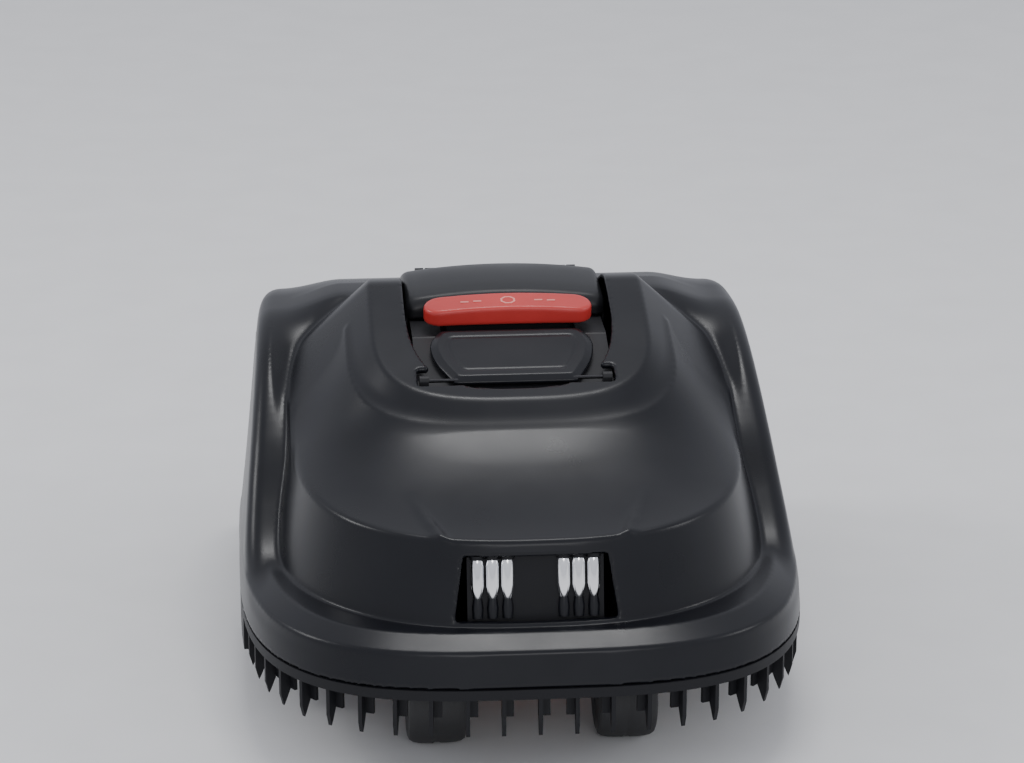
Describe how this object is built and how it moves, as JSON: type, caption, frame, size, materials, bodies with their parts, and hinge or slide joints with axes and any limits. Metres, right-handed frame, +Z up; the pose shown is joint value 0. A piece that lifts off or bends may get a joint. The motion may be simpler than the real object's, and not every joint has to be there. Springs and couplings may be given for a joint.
{
  "type": "robotic lawn mower",
  "caption": "Robotic lawn mower with a floating hood, comb skirt, charging contacts, front casters, large drive wheels, a height-adjustable blade disc and a stop bar on top.",
  "frame": {"origin": "on the ground, under the centre of the bounding box, with every wheel resting on the ground", "axes": "+Z up, the mower's front faces -Y, +X is to the right when looking at its front"},
  "size_m": [0.4304, 0.5761, 0.28],
  "materials": {
    "black_gloss": "satin",
    "black_matte": "fine grained",
    "charcoal": "satin",
    "dark_grey": "fine grained",
    "red_button": "satin",
    "tyre_rubber": "matt",
    "soft_rubber": "matt",
    "chrome": "polished",
    "steel": "brushed",
    "orange_disc": "satin",
    "board_green": "lacquered",
    "lcd_glass": "polished",
    "bush_white": "smooth",
    "battery_blue": "shrink sleeve"
  },
  "bodies": {
    "chassis": {"chassis_tray": "black_matte", "chassis_cover": "black_matte", "chassis_gasket": "soft_rubber", "chassis_screws": "steel", "cockpit_housing": "dark_grey", "display_board": "board_green", "lcd_display": "lcd_glass", "battery_pack": "battery_blue", "battery_door": "dark_grey", "main_board": "board_green", "drive_motor_left": "steel", "drive_motor_right": "steel", "gearbox_left": "dark_grey", "gearbox_right": "dark_grey", "contact_block": "black_matte", "charge_contact_left": "chrome", "charge_contact_right": "chrome", "caster_bush_left": "bush_white", "caster_bush_right": "bush_white", "float_buffers": "soft_rubber", "cover_hinge_pin": "steel", "flap_hinge_pin": "steel", "stop_spring": "steel"},
    "float_frame": {"float_frame": "steel"},
    "hood": {"hood_shell": "black_gloss", "comb_ring": "black_matte", "hood_screws": "steel"},
    "cutting_deck": {"motor_carrier": "dark_grey", "cutting_motor": "steel", "height_sleeve": "bush_white"},
    "blade_disc": {"blade_disc": "orange_disc", "disc_shaft": "steel", "blade_screws": "steel"},
    "height_knob": {"height_knob": "dark_grey", "height_screw": "steel"},
    "height_flap": {"height_flap": "black_gloss"},
    "display_cover": {"display_cover": "charcoal"},
    "stop_button": {"stop_button": "red_button"},
    "wheel_left": {"tyre_left": "tyre_rubber", "wheel_rim_left": "dark_grey", "hub_cap_left": "black_gloss", "drive_shaft_left": "steel"},
    "caster_left": {"caster_fork_left": "black_matte", "caster_axle_left": "steel"},
    "caster_wheel_left": {"caster_wheel_left": "soft_rubber"},
    "wheel_right": {"tyre_right": "tyre_rubber", "wheel_rim_right": "dark_grey", "hub_cap_right": "black_gloss", "drive_shaft_right": "steel"},
    "caster_right": {"caster_fork_right": "black_matte", "caster_axle_right": "steel"},
    "caster_wheel_right": {"caster_wheel_right": "soft_rubber"},
    "blade_1": {"blade_1": "steel"},
    "blade_2": {"blade_2": "steel"},
    "blade_3": {"blade_3": "steel"},
    "key_1": {"key_1": "soft_rubber"},
    "key_2": {"key_2": "soft_rubber"},
    "key_3": {"key_3": "soft_rubber"},
    "key_4": {"key_4": "soft_rubber"}
  },
  "joints": [
    {"name": "hood_bump", "type": "slide", "parent": "chassis", "child": "float_frame", "axis": [0, 1, 0], "range_m": [-0.006, 0.006], "stiffness_N_per_m": 3000, "deforming": ["float_buffers"]},
    {"name": "hood_lift", "type": "slide", "parent": "float_frame", "child": "hood", "axis": [0, 0, 1], "range_m": [0, 0.008]},
    {"name": "deck_slide", "type": "slide", "parent": "chassis", "child": "cutting_deck", "axis": [0, 0, 1], "range_m": [-0.04, 0]},
    {"name": "height_turn", "type": "hinge", "parent": "chassis", "child": "height_knob", "pos_m": [0, -0.015, 0.2], "axis": [0, 0, 1], "range_deg": [0, 300]},
    {"name": "disc_spin", "type": "hinge", "parent": "cutting_deck", "child": "blade_disc", "pos_m": [0, -0.015, 0.063], "axis": [0, 0, 1], "continuous": true},
    {"name": "stop_press", "type": "slide", "parent": "chassis", "child": "stop_button", "axis": [0, -0.1736, 0.9848], "range_m": [-0.004, 0], "stiffness_N_per_m": 800, "springref_m": 0.003, "deforming": ["stop_spring"]},
    {"name": "flap_hinge", "type": "hinge", "parent": "chassis", "child": "height_flap", "pos_m": [0, -0.05831, 0.23926], "axis": [1, 0, 0], "range_deg": [0, 100]},
    {"name": "cover_hinge", "type": "hinge", "parent": "chassis", "child": "display_cover", "pos_m": [0, 0.158, 0.258], "axis": [-1, 0, 0], "range_deg": [0, 80]},
    {"name": "wheel_left_spin", "type": "hinge", "parent": "chassis", "child": "wheel_left", "pos_m": [-0.174, 0.165, 0.105], "axis": [1, 0, 0], "continuous": true},
    {"name": "caster_left_swivel", "type": "hinge", "parent": "chassis", "child": "caster_left", "pos_m": [-0.071, -0.204, 0.1], "axis": [0, 0, 1], "continuous": true},
    {"name": "caster_left_roll", "type": "hinge", "parent": "caster_left", "child": "caster_wheel_left", "pos_m": [-0.071, -0.188, 0.04], "axis": [1, 0, 0], "continuous": true},
    {"name": "wheel_right_spin", "type": "hinge", "parent": "chassis", "child": "wheel_right", "pos_m": [0.174, 0.165, 0.105], "axis": [1, 0, 0], "continuous": true},
    {"name": "caster_right_swivel", "type": "hinge", "parent": "chassis", "child": "caster_right", "pos_m": [0.071, -0.204, 0.1], "axis": [0, 0, 1], "continuous": true},
    {"name": "caster_right_roll", "type": "hinge", "parent": "caster_right", "child": "caster_wheel_right", "pos_m": [0.071, -0.188, 0.04], "axis": [1, 0, 0], "continuous": true},
    {"name": "blade_1_pivot", "type": "hinge", "parent": "blade_disc", "child": "blade_1", "pos_m": [0, 0.06, 0.06], "axis": [0, 0, 1], "continuous": true},
    {"name": "blade_2_pivot", "type": "hinge", "parent": "blade_disc", "child": "blade_2", "pos_m": [-0.06495, -0.0525, 0.06], "axis": [0, 0, 1], "continuous": true},
    {"name": "blade_3_pivot", "type": "hinge", "parent": "blade_disc", "child": "blade_3", "pos_m": [0.06495, -0.0525, 0.06], "axis": [0, 0, 1], "continuous": true},
    {"name": "key_1_press", "type": "slide", "parent": "chassis", "child": "key_1", "axis": [0, 0, 1], "range_m": [-0.001, 0], "stiffness_N_per_m": 500, "springref_m": 0.001},
    {"name": "key_2_press", "type": "slide", "parent": "chassis", "child": "key_2", "axis": [0, 0, 1], "range_m": [-0.001, 0], "stiffness_N_per_m": 500, "springref_m": 0.001},
    {"name": "key_3_press", "type": "slide", "parent": "chassis", "child": "key_3", "axis": [0, 0, 1], "range_m": [-0.001, 0], "stiffness_N_per_m": 500, "springref_m": 0.001},
    {"name": "key_4_press", "type": "slide", "parent": "chassis", "child": "key_4", "axis": [0, 0, 1], "range_m": [-0.001, 0], "stiffness_N_per_m": 500, "springref_m": 0.001}
  ],
  "couplings": [
    {"joint": "height_turn", "follows": "deck_slide", "rad_per_m": -130.8}
  ]
}
